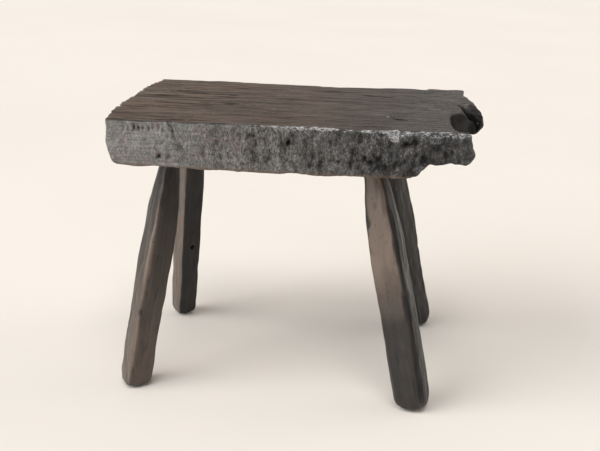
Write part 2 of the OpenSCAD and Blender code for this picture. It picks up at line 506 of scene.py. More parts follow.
def front_relief(grid):
    """How far the front face stands in or out. It is torn across the grain, so its texture runs
    up and down: broad lumps, upright strokes, meandering fissures and pits."""
    lumps = grid.noise((22, 60, 18), 21)
    blocks = grid.noise((5, 40, 8), 22)
    strokes = grid.noise((2.4, 30, 4.5), 23)
    fissures = np.exp(-((grid.noise((4.5, 30, 8), 24) / 0.2) ** 2))
    pits = np.maximum(grid.noise((3.2, 12, 4.2), 25) - 1.0, 0)
    relief = 0.35 * lumps + 0.3 * blocks + 0.6 * strokes - 0.45 * fissures - 0.9 * pits
    relief = front_wear(grid) * relief
    for mark in FRONT_PITS:
        relief = relief - pit(grid, *mark) * np.maximum(0.7 + 0.4 * blocks, 0.5)
    for points, half_width, depth in FRONT_CRACKS:
        away = polyline_distance(grid.x, grid.z, points) + 0.9 * grid.noise((5, None, 5), 27)
        relief = relief - depth * np.exp(-((away / half_width) ** 2))
    return relief - adze_marks(grid)


def pit(grid, x, z, half_width, half_height, depth):
    """A bowl sunk into the front face, given as its depth."""
    away = np.sqrt(((grid.x - x) / half_width) ** 2 + ((grid.z - z) / half_height) ** 2)
    return depth * (1 - ramp(away, 0, 1.3))


def adze_marks(grid):
    """A row of short upright tool marks near the top of the sound end's front."""
    marks = 0
    rng = np.random.default_rng(31)
    for x in ADZE_X:
        x = x + rng.uniform(-1, 1)
        z = ADZE_Z + rng.uniform(-1.5, 1.5)
        marks = marks + pit(grid, x, z, 1.9, rng.uniform(4, 6), rng.uniform(1.5, 2.3))
    return marks


def left_end_x(grid):
    """The sound end: bowed in plan, undercut below and scalloped where the grain ridges end."""
    bow = END_BOW * (grid.y / BACK) ** 2
    undercut = END_UNDERCUT * np.maximum(TOP - 10 - grid.z, 0) ** 2
    tearing = 0.5 * grid.noise((20, 12, 12), 52) + 0.45 * grid.noise((9, 4, 5), 51)
    return LEFT - 1.8 + bow + undercut - 0.35 * grain_ridges(grid) + tearing


def right_end_x(grid):
    """The worn end's face, with a small notch and a knob near its front corner."""
    near_front = ramp(grid.y, -85, -112)
    torn = (1.3 - 0.8 * near_front) * grid.noise((20, 13, 11), 53)
    fine = 0.7 * grid.noise((6, 5, 5), 54)
    knob = 2.6 * near_front * np.exp(-(((grid.z - 309) / 4.5) ** 2))
    notch = 3 * np.exp(-(((grid.y - FRONT - 9) / 5.5) ** 2)) * ramp(grid.z, 318, 328)
    return WORN_END + 0.5 - near_front + torn + fine + knob - notch


def underside_z(grid):
    """The hewn underside, with the slope and the eroded thin part at the worn end."""
    strokes = 0.6 * grid.noise((30, 22, None), 43) + 0.35 * grid.noise((11, 3.6, None), 44)
    hollows = -np.abs(grid.noise((26, 38, None), 48)) * 0.8
    start = THINNING_START + 2.5 * grid.noise((None, 16, None), 45)
    thinning = THINNING_STEPS[0] * ramp(grid.x, start, start + 9)
    thinning = thinning + THINNING_STEPS[1] * ramp(grid.x, start + 7, start + 19)
    ragged = ramp(grid.x, WORN_END - 80, WORN_END - 55)
    torn = 1.1 * grid.noise((9, 11, 12), 46) + 0.6 * grid.noise((4.5, 4.5, 6), 47)
    return UNDERSIDE + 0.9 + thinning + strokes + hollows + ragged * torn


def bevel(a, b, depth):
    """A plane that cuts depth off the edge between two faces."""
    return (a + b) / math.sqrt(2) + depth


def slab(grid):
    """The slab before its worn end is carved, its marks, and the height of its top."""
    top, top_relief = top_surface(grid)
    front = front_relief(grid)
    back = 0.7 * grid.noise((30, 60, 18), 41) + 0.4 * grid.noise((20, 30, 3.4), 42)
    above = grid.z - top
    before = FRONT + 0.5 - grid.y - front
    behind = grid.y - BACK + 0.5 - back
    beyond = grid.x - right_end_x(grid)
    short_of = left_end_x(grid) - grid.x
    below = underside_z(grid) - grid.z

    wear = ramp(grid.x, WEAR_START, 40)
    chips = grid.noise((8, 9, 9), 55)
    chips = chips + np.maximum(grid.noise((13, 12, 12), 56) - 0.6, 0)
    gash = GASH_DEPTH * ramp(grid.x, GASH_START, GASH_MIDDLE)
    gash = gash * ramp(grid.x, GASH_END, GASH_MIDDLE)
    front_bevel = bevel(above, before, 1.7 + 0.7 * wear + (0.25 + 1.0 * wear) * chips) + gash
    foot_bevel = bevel(below, before, 0.8) + 0.4 * chips
    back_bevel = bevel(above, behind, 1.2) + 0.5 * chips

    # Each edge between two faces is rounded by its own radius.
    field = smooth_max(before, short_of, 4)
    for one, other, radius in ((behind, short_of, 8), (beyond, before, 9), (beyond, behind, 3)):
        field = smooth_max(field, smooth_max(one, other, radius), 1)
    for plane, radius in ((front_bevel, 1.2), (foot_bevel, 1.5), (back_bevel, 2.5)):
        field = smooth_max(field, plane, radius)
    field = smooth_max(field, smooth_max(below, short_of, 11), 1)
    field = smooth_max(field, above, 1.6)
    field = smooth_max(field, smooth_max(smooth_max(beyond, below, 11), below, 1), 1)
    field = smooth_max(field, smooth_max(above, short_of, 4), 1)

    near_top = np.exp(-np.clip(above, -30, 30) ** 2 / 8)
    near_front = np.exp(-np.clip(before, -30, 30) ** 2 / 18)
    relief = top_relief * near_top + front * near_front * (1 - near_top)
    return field, {"relief": relief, "chip_and_glint": rim_chips_and_glints(grid, above, front_bevel, gash)}, top


def rim_chips_and_glints(grid, above, front_bevel, gash):
    """1 where the upper front edge is painted pale: flecks along it, which are painted highlights
    for glints, and the face of the gash, pale broken wood that is also painted bright as a
    highlight.
    """
    on_bevel = np.exp(-(np.clip(front_bevel, -9, 9) ** 2) / 3)
    on_ridge = on_bevel * np.exp(-(np.clip(above + 1.0, -9, 9) ** 2) / 3.5)
    patches = ramp(grid.noise((14, 9, 9), 60), -2.6, -0.8)
    # painted highlights: pale flecks along the ridge of the worn edge stand for glints
    flecks = ramp(grid.noise((2.6, 2, 2), 57), -0.7, 0.6) * patches
    flecks = flecks * ramp(grid.x, WEAR_START - 20, 20)
    broken = on_bevel * ramp(gash, 0.8, 2.4) * ramp(grid.noise((2.6, 2.6, 2.6), 58), -1.6, 0.2)
    return np.maximum(on_ridge * flecks, broken)


def chain_distance(grid, points):
    """Distance to a chain of cones and balls, given as x, y, z and radius."""
    links = []
    for start, end in zip(points, points[1:]):
        a = np.array(start[:3])
        d = np.array(end[:3]) - a
        px, py, pz = grid.x - a[0], grid.y - a[1], grid.z - a[2]
        t = np.clip((px * d[0] + py * d[1] + pz * d[2]) / (d @ d), 0, 1)
        away = np.sqrt((px - t * d[0]) ** 2 + (py - t * d[1]) ** 2 + (pz - t * d[2]) ** 2)
        links.append(away - (start[3] + t * (end[3] - start[3])))
    return merged(smooth_min, links, 3)


def lip(grid):
    lumps = 0.6 * grid.noise((9, 12, 9), 61) + 0.55 * grid.noise((4, 4, 4), 62)
    return chain_distance(grid, LIP_LINE) + lumps


def split(grid):
    """The open split, negative inside it: a groove that gets narrower downwards."""
    grooves = []
    for drop in (0, 5, 10):
        lowered = [(x, y, z - drop, max(r - drop * 0.1, 0.6)) for x, y, z, r in SPLIT_LINE]
        grooves.append(chain_distance(grid, lowered))
    return merged(smooth_min, grooves, 3) + 0.35 * grid.noise((7, 7, 9), 63)


def crest_side(grid):
    """Distance past the crest's line, towards the split."""
    return CREST_ACROSS[0] * grid.x + CREST_ACROSS[1] * grid.y - CREST_DISTANCE


def pocket(grid):
    """The pocket worn into the top, negative inside it. The crest bounds it at the side."""
    u = np.abs(grid.x - POCKET_X) / POCKET_HALF[0]
    v = np.abs(grid.y - POCKET_Y) / POCKET_HALF[1]
    w = np.abs(grid.z - TOP - POCKET_RISE) / POCKET_HALF[2]
    bowl = ((u**3 + v**3 + w**3) ** (1 / 3) - 1) * POCKET_HALF[0]
    bowl = bowl + 0.6 * grid.noise((11, 11, 9), 64)
    return smooth_max(bowl, crest_side(grid), 2)


def lost_crest(grid):
    """What has broken away over the crest, negative inside it."""
    fallen = CREST_FALL * (grid.x - CREST_START)
    lip_side = np.maximum(crest_side(grid) - CREST_HALF_WIDTH, 0)
    above = grid.z - TOP + fallen - LIP_RISE * lip_side
    return smooth_max(-above, -crest_side(grid) - CREST_HALF_WIDTH, 2)


def crack(grid, start, end, width, depth, seed):
    """A crack in the top that wanders along the grain and closes at both ends."""
    wander = 1.2 * grid.noise((12, None, None), seed)
    away, t = segment_distance(grid.x, grid.y + wander, start, end)
    open_width = width * np.sin(math.pi * np.clip(t, 0.02, 0.98))
    return np.maximum(away - open_width / 2, TOP - 1.0 - depth - grid.z)


def carve_tongue(grid, field, top):
    """Leaves a thin sliver along the back of the worn end, with a gap beneath it."""
    reach = WORN_END + 3 - 5 * ramp(grid.y, 122, 104)
    floor = TOP - 0.6 - (5.5 + 5 * ramp(WORN_END - 6 - grid.x, 0, 22))
    gap = np.maximum(grid.z - floor, GAP_FRONT - grid.y)
    gap = np.maximum(gap, WORN_END - 11 - grid.x + 1.5 * grid.noise((None, 12, 9), 65))
    field = smooth_max(field, -gap, 3)
    sliver = grid.x - reach - 0.4 * grid.noise((9, 4, 4), 66)
    sliver = smooth_max(sliver, SLIVER_FRONT - grid.y, 1.5)
    sliver = smooth_max(sliver, grid.y - BACK + 0.8, 1.5)
    sliver = np.maximum(np.maximum(sliver, grid.z - top), floor - grid.z)
    sliver = np.maximum(sliver, SLIVER_START - grid.x)
    return smooth_min(field, sliver, 1.5)


def splinter(grid):
    u = (grid.x - SPLINTER_X) / SPLINTER_HALF[0]
    v = (grid.y - SPLINTER_Y + 0.2 * (grid.x - SPLINTER_X)) / SPLINTER_HALF[1]
    w = (grid.z - TOP + 0.5) / SPLINTER_HALF[2]
    return (np.sqrt(u * u + v * v + w * w) - 1) * SPLINTER_HALF[2]


def seat_field(grid):
    """The whole seat, with the fields of marks that its material reads."""
    field, marks, top = slab(grid)
    field = carve_tongue(grid, field, top)
    field = smooth_min(field, lip(grid), 4)
    for carved, radius in ((pocket, 2), (lost_crest, 2), (split, 1.2)):
        field = smooth_max(field, -carved(grid), radius)
    # painted highlights: the glint spots join the chip marks, which paint them pale
    for x, y, z, radius in SHINES:
        away = (grid.x - x) ** 2 + (grid.y - y) ** 2 + (grid.z - z) ** 2
        marks["chip_and_glint"] = np.maximum(marks["chip_and_glint"], np.exp(-away / radius**2))
    for k, mark in enumerate(TOP_CRACKS):
        opening = crack(grid, *mark, 71 + k)
        field = smooth_max(field, -opening, 0.6)
        marks["relief"] = marks["relief"] - 3 * ramp(opening, 1.2, 0)
    field = smooth_min(field, splinter(grid), 0.8)
    for leg in LEGS:
        field = np.maximum(field, -socket(grid, leg))
    marks["scrape"] = scrape_field(grid)
    return field, marks


def scrape_field(grid):
    """1 on the pale scrapes and scuffs of the top, fading to 0 around them."""
    pale = np.zeros((len(grid.axes[0]), len(grid.axes[1]), 1), np.float32)
    for start, end, half_width in TOP_SCRAPES:
        away = segment_distance(grid.x, grid.y, start, end)[0]
        pale = np.maximum(pale, np.exp(-((away / half_width) ** 2)))
    scuffed = np.hypot((grid.x - SCUFF_X) / SCUFF_RADIUS, (grid.y - SCUFF_Y) / SCUFF_RADIUS)
    patch = (1 - ramp(scuffed, 0.2, 1.2)) * ramp(grid.noise((3, 2.6, None), 81), 0.7, 1.6)
    return np.maximum(pale * ramp(grid.noise((3, 3, None), 82), -1.2, 0.6), 0.7 * patch)


def make_seat():
    margin = 6
    low = [v - margin for v in SEAT_LOW]
    high = [v + margin for v in SEAT_HIGH]
    grid = Grid(low, high, SEAT_STEP)
    field, marks = seat_field(grid)
    piece = carve("seat_slab", grid, field, marks, Matrix.Identity(4))
    piece.data.materials.append(seat_material())
    finish_piece(piece, "seat")


# -------- The legs --------


class Leg:
    """A leg's place, from its sole mount and its wedge in the frame, and how it was hewn.

    half_size is half of the billet's width and depth, taper is how much those grow towards the
    foot, and dome is the radius that rounds the foot. Faces are counted by eighths of a turn: cuts
    gives the depth by which a face was hewn deeper towards the top, and face_light_paint gives the
    light and shade painted on a face: how much paler it is painted at the top and at the foot, or
    how much darker where it is below 0.
    """

    def __init__(self, place, turn, half_size, chamfer, taper, dome, cuts, face_light_paint, seed):
        self.place = place
        self.half_size = half_size
        self.chamfer = chamfer
        self.taper = taper
        self.dome = dome
        self.cuts = cuts
        self.face_light_paint = face_light_paint
        self.seed = seed
        sole = next(m for m in frame["record"]["mounts"] if m["name"] == "sole_" + place)
        low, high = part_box("wedge_" + place)
        wedge = (low + high) / 2 / MM
        foot = Vector(sole["pos_m"]) / MM + Vector((0, 0, DOME_HEIGHT))
        self.axis = (wedge - foot).normalized()
        self.length = (UNDERSIDE - DOME_HEIGHT) / self.axis.z
        self.mouth = foot + self.axis * self.length
        lean = math.atan2(math.hypot(self.axis.x, self.axis.y), self.axis.z)
        heading = math.atan2(self.axis.y, self.axis.x)
        self.to_frame = (
            Matrix.Translation(self.mouth)
            @ Euler((0, lean, heading), "XYZ").to_matrix().to_4x4()
            @ Matrix.Rotation(math.radians(turn) - heading, 4, "Z")
        )


LEGS = [
    Leg("front_left", 36, (16.4, 16.8), 2.6, -1.6, 24, {4: 2.0, 5: 1.4},
        {4: (0.0, 0.5), 5: (1.3, 0.2), 6: (0.0, 0.5)}, 100),
    Leg("front_right", -15, (19.4, 16.6), 3.4, 0.0, 23.5, {7: 1.6},
        {6: (1.9, -0.7), 7: (-1.3, -1.2), 0: (-1.8, -1.5)}, 200),
    Leg("back_left", 43, (15.6, 15.2), 1.8, -2.4, 22, {}, {4: (0.7, 0.7), 6: (-1, -1)}, 300),
    Leg("back_right", -38, (15.8, 16.0), 3.0, -0.8, 22, {},
        {6: (-1, -1), 7: (-1, -1), 0: (-1, -1)}, 400),
]

# The neck under the seat: its length, and how fast it grows into the billet's shoulders below.
NECK_LENGTH = 16
NECK_FLARE = 0.2

# A knot hole in one leg: its face, place across it, place along the leg and radius, and how far
# from the leg's axis it ends.
KNOTS = {"back_left": (6, 0.8, -170.0, 2.6, 8)}


def tenon_radius(along):
    return TENON_ROOT_RADIUS - along * (TENON_ROOT_RADIUS - TENON_TIP_RADIUS) / TENON_LENGTH


def socket(grid, leg):
    """The tapered socket of a leg in the seat's grid, negative inside it."""
    px, py, pz = grid.x - leg.mouth.x, grid.y - leg.mouth.y, grid.z - leg.mouth.z
    along = px * leg.axis.x + py * leg.axis.y + pz * leg.axis.z
    away = np.sqrt(np.maximum(px * px + py * py + pz * pz - along * along, 0))
    return np.maximum(away - tenon_radius(along) - SOCKET_GAP, along - TENON_LENGTH - 1)


def hewn_section(grid, leg):
    """The four broad faces and four chamfers of a billet, each a little wavy along its length,
    and the light and shade painted on them."""
    down = np.clip(-grid.z / leg.length, 0, 1)
    faces = []
    painted_light = 0
    for k in range(8):
        angle = math.radians(45 * k)
        half = leg.half_size[k // 2 % 2]
        if k % 2:
            half = (sum(leg.half_size) - leg.chamfer) / math.sqrt(2)
        half = half + leg.taper * down - leg.cuts.get(k, 0) * (1 - ramp(down, 0.15, 0.8))
        wave = 0.45 * grid.noise((None, None, 36), leg.seed + k)
        wave = wave + 0.15 * grid.noise((None, None, 11), leg.seed + 20 + k)
        face = grid.x * math.cos(angle) + grid.y * math.sin(angle) - half - wave
        faces.append(face)
        top, foot = leg.face_light_paint.get(k, (0, 0))
        at_neck = 5 * (1 - ramp(down, 0.02, 0.25))
        shade = top + (foot - top) * ramp(down, 0.1, 1.0)
        painted_light = painted_light + shade * ramp(face + at_neck, -2.8, -0.8)
    return merged(smooth_max, faces, 1.1), painted_light


def tenon_field(grid):
    """The tapered tenon with the kerf that its wedge opens."""
    away = np.hypot(grid.x, grid.y)
    tenon = smooth_max(away - tenon_radius(grid.z), grid.z - TENON_LENGTH + 0.4, 1)
    kerf_start = TENON_LENGTH - WEDGE_LENGTH
    half_width = 0.9 + 2.0 * ramp(grid.z, kerf_start, TENON_LENGTH)
    kerf = np.abs(grid.x) - half_width
    return np.maximum(tenon, -np.maximum(kerf, kerf_start - 1 - grid.z))


def knot(grid, leg):
    """A knot hole sunk into a leg's face, negative inside it."""
    face, across, along, radius, end = KNOTS[leg.place]
    angle = math.radians(45 * face)
    u = -grid.x * math.sin(angle) + grid.y * math.cos(angle) - across
    out = grid.x * math.cos(angle) + grid.y * math.sin(angle)
    away = np.hypot(u, (grid.z - along) * 0.8) - radius
    return smooth_max(away, end - out, 3)


def leg_field(grid, leg):
    """A leg in its own grid, where z runs up its axis and is 0 at the mouth of its socket."""
    grain = 0.15 * grid.noise((1.8, 1.8, 24), leg.seed + 40)
    scars = np.minimum(grid.noise((5, 5, 9), leg.seed + 41) + 1.5, 0)
    facets = 0.3 * grid.noise((14, 14, 30), leg.seed + 42)
    relief = grain + 0.5 * scars + 0.2 * grid.noise((4, 4, 10), leg.seed + 43)
    away = np.hypot(grid.x, grid.y)
    neck = away - TENON_ROOT_RADIUS - NECK_FLARE * np.maximum(-grid.z - NECK_LENGTH, 0)
    section, painted_light = hewn_section(grid, leg)
    body = smooth_max(section - facets, neck, 9)
    dome = np.hypot(away, np.minimum(grid.z + leg.length, 0)) - leg.dome
    body = smooth_max(body, dome, 5) - relief
    up = leg.to_frame.to_3x3()[2]
    above_floor = leg.mouth.z + grid.x * up[0] + grid.y * up[1] + grid.z * up[2]
    body = smooth_max(body, -above_floor, 7)
    if leg.place in KNOTS:
        body = smooth_max(body, -knot(grid, leg), 1)
    field = np.where(grid.z > 0, tenon_field(grid), body)
    return field, {"relief": relief, "painted_light": painted_light}


def make_leg(leg):
    reach = max(leg.half_size) + 9
    low = [-reach, -reach, -leg.length - DOME_HEIGHT - 12]
    high = [reach, reach, TENON_LENGTH + 3]
    grid = Grid(low, high, LEG_STEP)
    field, marks = leg_field(grid, leg)
    to_frame = Matrix.Scale(MM, 4) @ leg.to_frame @ Matrix.Scale(1 / MM, 4)
    piece = carve("leg_" + leg.place + "_billet", grid, field, marks, to_frame)
    piece.data.materials.append(LEG_MATERIAL)
    finish_piece(piece, "leg_" + leg.place)


def finish_piece(piece, node):
    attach(piece, "root")
    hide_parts(node)


# -------- Materials --------


# Grime in the grain and painted shade in the legs' dents; the height in metres of the finest
# bumps.
DARK_WOOD = (0.01, 0.008, 0.007)
FINE_BUMP = 0.0006


class Graph:
    """A short way to build a material or a world from nodes. Sockets are passed on as values."""

    def __init__(self, owner):
        self.owner = owner
        owner.use_nodes = True
        self.tree = owner.node_tree
        self.tree.nodes.clear()

    def node(self, kind, inputs=(), **settings):
        made = self.tree.nodes.new(kind)
        for key, value in settings.items():
            setattr(made, key, value)
        for key, value in dict(inputs).items():
            if isinstance(value, bpy.types.NodeSocket):
                self.tree.links.new(value, made.inputs[key])
            else:
                made.inputs[key].default_value = value
        return made

    def attribute(self, name, output="Fac"):
        return self.node("ShaderNodeAttribute", attribute_name=name).outputs[output]

    def vector(self, operation, a, b):
        return self.node("ShaderNodeVectorMath", {0: a, 1: b}, operation=operation)

    def axes(self, vector):
        """The sockets of a vector's x, y and z."""
        return tuple(self.node("ShaderNodeSeparateXYZ", {"Vector": vector}).outputs)

    def noise(self, coords, scale, detail=4.0, rough=0.6):
        """Noise over coords in millimetres; scale is in patterns per millimetre on each axis."""
        scaled = self.vector("MULTIPLY", coords, scale).outputs["Vector"]
        inputs = {"Vector": scaled, "Scale": 1.0, "Detail": detail, "Roughness": rough}
        return self.node("ShaderNodeTexNoise", inputs).outputs["Fac"]

    def math(self, operation, a, b=0.0):
        return self.node("ShaderNodeMath", {0: a, 1: b}, operation=operation).outputs[0]

    def product(self, *factors):
        return functools.reduce(lambda a, b: self.math("MULTIPLY", a, b), factors)

    def span(self, value, start, end, low=0.0, high=1.0):
        """Maps value from start..end to low..high, with eased ends."""
        inputs = {"Value": value, "From Min": start, "From Max": end, "To Min": low}
        inputs["To Max"] = high
        made = self.node("ShaderNodeMapRange", inputs, interpolation_type="SMOOTHSTEP")
        return made.outputs["Result"]

    def mix(self, factor, a, b):
        """Colour a where factor is 0 and colour b where it is 1."""
        a, b = ((*colour, 1) if isinstance(colour, tuple) else colour for colour in (a, b))
        return self.node("ShaderNodeMix", {0: factor, 6: a, 7: b}, data_type="RGBA").outputs[2]

    def stain(self, colour, *stains):
        """Lays stains over a colour in turn, each given as a value, its span and the colour."""
        for value, limits, stained in stains:
            colour = self.mix(self.span(value, *limits), colour, stained)
        return colour

    def bump(self, height, strength, distance, normal=None):
        inputs = {"Height": height, "Strength": strength, "Distance": distance}
        if normal is not None:
            inputs["Normal"] = normal
        return self.node("ShaderNodeBump", inputs).outputs["Normal"]

    def finish(self, colour, roughness, normal, coat=0.0, coat_roughness=0.3, specular=0.5):
        inputs = {"Base Color": colour, "Roughness": roughness, "Normal": normal}
        inputs.update({"Coat Weight": coat, "Coat Roughness": coat_roughness})
        inputs["Specular IOR Level"] = specular
        shader = self.node("ShaderNodeBsdfPrincipled", inputs)
        self.node("ShaderNodeOutputMaterial", {"Surface": shader.outputs["BSDF"]})
        return self.owner


def new_material(name):
    return Graph(bpy.data.materials.new(name))


def seat_material():
    g = new_material("old_waxed_slab")
    grain = g.attribute("grain", "Vector")
    marks = ("relief", "edge", "scrape", "chip_and_glint")
    relief, edge, scrape, chip_and_glint = (g.attribute(name) for name in marks)
    place = g.axes(grain)
    along = place[0]
    tilt = g.axes(g.node("ShaderNodeNewGeometry").outputs["Normal"])[2]

    mottle = g.noise(grain, (0.028, 0.028, 0.028), 5.0, 0.65)
    fibre = g.noise(grain, (0.02, 0.34, 0.34), 6.0, 0.75)
    speck = g.noise(grain, (0.55, 0.55, 0.3), 5.0, 0.85)
    dash = g.noise(grain, (0.3, 0.8, 0.8), 4.0, 0.75)

    top = seat_top_colour(g, grain, along, relief, fibre, mottle)
    face = seat_side_colour(g, grain, place, relief, mottle, speck)
    up = g.span(tilt, 0.55, 0.85)
    colour = g.stain(
        g.mix(up, face, top),
        (scrape, (0.15, 0.9, 0.0, 0.75), (0.27, 0.245, 0.22)),
        # painted shade: near black in hollows and creases, where the averaged field is below 0
        (edge, (-0.4, -1.8, 0.0, 0.9), (0.005, 0.0045, 0.004)),
    )
    rim = front_rim(g, place, tilt)
    colour = g.mix(g.product(rim, 0.85), colour, (0.018, 0.016, 0.0145))
    pocket_shade, black_beside_split = worn_pocket(g, place)
    # painted shade: the pocket at the worn end is painted near black
    colour = g.mix(pocket_shade, colour, (0.023, 0.0215, 0.0198))
    # partly painted shade and partly dark wood: near black beside the split and on the lip past it
    colour = g.mix(black_beside_split, colour, (0.006, 0.0055, 0.005))
    # painted highlights: pale dashes along the upper front edge and the pale chip marks stand for
    # glints
    rim_glints = g.product(rim, g.span(along, -95, 0, 0.0, 0.75), g.span(dash, 0.5, 0.58))
    chips_and_glints = g.product(g.span(chip_and_glint, 0.15, 0.6), g.span(dash, 0.44, 0.56, 0.22, 1.0))
    colour = g.mix(g.math("MAXIMUM", chips_and_glints, rim_glints), colour, (0.5, 0.495, 0.49))

    rough_top = g.span(mottle, 0.3, 0.7, 0.38, 0.52)
    rough_face = g.span(speck, 0.35, 0.7, 0.3, 0.6)
    roughness = g.node("ShaderNodeMix", {0: up, 2: rough_face, 3: rough_top}).outputs[0]
    roughness = g.product(roughness, g.span(chip_and_glint, 0.1, 0.6, 1.0, 0.6))
    furrow = g.product(g.span(fibre, 0.46, 0.6), up)
    sunken = g.math("MAXIMUM", pocket_shade, g.span(relief, -0.2, -1.4, 0.0, 0.8))
    sunken = g.math("MAXIMUM", sunken, g.math("MAXIMUM", furrow, black_beside_split))
    gloss = g.math("SUBTRACT", 1.0, g.product(sunken, 0.8))
    grit = g.product(speck, g.span(along, -160, 60, 0.7, 1.3), g.span(up, 0.0, 1.0, 1.0, 0.3))
    normal = g.bump(grit, 0.9, 0.0028, g.bump(fibre, 0.3, FINE_BUMP))
    return g.finish(colour, roughness, normal, g.product(gloss, 0.3), 0.25, g.product(gloss, 0.5))


def seat_top_colour(g, grain, along, relief, fibre, mottle):
    """Warm brown with lighter ridges at the sound end, cooler and darker to the worn end."""
    bands = g.noise(grain, (0.007, 0.13, 0.13), 4.0, 0.6)
    tint = g.span(mottle, 0.35, 0.65)
    warm = g.mix(tint, (0.052, 0.033, 0.022), (0.07, 0.042, 0.031))
    cool = g.mix(tint, (0.022, 0.0195, 0.018), (0.036, 0.03, 0.028))
    top = g.mix(g.span(along, -20, 150), warm, cool)
    ridge = g.product(g.span(relief, -0.3, 0.9), g.span(along, 40, -190, 0.05, 0.75))
    top = g.stain(
        g.mix(ridge, top, (0.16, 0.105, 0.066)),
        # painted shade: darker where the top sinks, in grooves, dents and cracks
        (relief, (-0.1, -0.9, 0.0, 0.7), (0.014, 0.011, 0.009)),
        (bands, (0.5, 0.66, 0.0, 0.65), (0.016, 0.012, 0.011)),
        (bands, (0.45, 0.32, 0.0, 0.4), (0.11, 0.082, 0.068)),
        (fibre, (0.5, 0.62, 0.0, 0.75), DARK_WOOD),
        (fibre, (0.46, 0.34, 0.0, 0.4), (0.13, 0.1, 0.084)),
    )
    fleck = g.span(g.noise(grain, (0.24, 0.19, 0.2), 4.0, 0.75), 0.56, 0.68)
    fleck = g.product(fleck, g.span(mottle, 0.4, 0.6, 0.05, 0.6))
    top = g.mix(fleck, top, (0.19, 0.175, 0.165))
    # painted highlights: pale sparkles towards the worn end stand for glints
    glint_sparks = g.span(g.noise(grain, (0.45, 0.9, 0.9), 4.0, 0.8), 0.54, 0.63)
    glint_sparks = g.product(glint_sparks, g.span(along, 60, 180, 0.05, 0.9))
    return g.mix(glint_sparks, top, (0.28, 0.283, 0.29))


def seat_side_colour(g, grain, place, relief, mottle, speck):
    """Grey patina at the sound end, turning near black and pitted to the worn end. Dark grain is
    drawn along the sound end and the back."""
    along, across, height = place
    blotch = g.noise(grain, (0.15, 0.15, 0.08), 5.0, 0.7)
    drift = g.product(g.math("SUBTRACT", mottle, 0.5), 170)
    spot = g.math("ADD", along, drift)
    light = g.mix(g.span(mottle, 0.35, 0.65), (0.172, 0.165, 0.154), (0.245, 0.235, 0.221))
    middle = g.mix(g.span(blotch, 0.38, 0.62), (0.066, 0.06, 0.056), (0.208, 0.194, 0.179))
    dark = g.mix(g.span(blotch, 0.4, 0.68), (0.0145, 0.0133, 0.0125), (0.058, 0.0535, 0.05))
    face = g.stain(light, (spot, (-140, -60), middle), (spot, (-40, 120), dark))
    streak = g.span(g.noise(grain, (0.012, 0.3, 0.4), 4.0, 0.6), 0.45, 0.6, 0.0, 0.55)
    sound = g.math("MAXIMUM", g.span(along, 0, -110), g.span(across, 20, 110, 0.0, 1.6))
    face = g.mix(g.product(streak, sound), face, (0.075, 0.064, 0.055))
    rust = g.span(g.noise(grain, (0.05, 0.05, 0.09), 3.0, 0.5), 0.5, 0.62)
    rust = g.product(rust, g.span(along, 0, -90, 0.1, 0.6))
    face = g.mix(rust, face, (0.2, 0.155, 0.135))
    grime = g.product(g.span(speck, 0.5, 0.58), g.span(along, -170, -60, 0.5, 0.9))
    face = g.mix(grime, face, (0.012, 0.011, 0.01))
    glint = g.product(
        g.span(speck, 0.48, 0.38),
        g.span(relief, -0.5, 0.8, 0.3, 0.85),
        g.span(along, 60, 180, 1.0, 0.65),
    )
    return g.stain(
        g.mix(glint, face, (0.36, 0.345, 0.33)),
        # painted shade: near black in the pits and cracks of the front and ends
        (relief, (-0.6, -3.2, 0.0, 0.62), (0.009, 0.008, 0.007)),
        (height, (UNDERSIDE + 4.5, UNDERSIDE + 2.5, 0.0, 0.75), (0.14, 0.095, 0.066)),
    )


def front_rim(g, place, tilt):
    """1 on the upper front edge, where the surface turns from the top to the front."""
    return g.product(
        g.span(tilt, 0.3, 0.5),
        g.span(tilt, 0.95, 0.86),
        g.span(place[2], TOP - 8, TOP - 5),
        g.span(place[1], FRONT + 13, FRONT + 8),
    )


def worn_pocket(g, place):
    """1 inside the pocket at the worn end, which is painted dark as shade, and near 1 beside the
    split, where the wood is painted near black, partly as shade and partly as dark wood.
    """
    along, across, height = place
    inside = g.product(
        g.span(along, 166, 174),
        g.span(across, 45, 10),
        g.span(across, -125, -119),
        g.span(height, TOP - 1.5, TOP - 5.0),
        g.span(height, TOP - 36.0, TOP - 22.0, 0.3, 0.95),
    )
    return inside, g.product(g.span(along, 192, 200), g.span(across, 60, 28), 0.95)


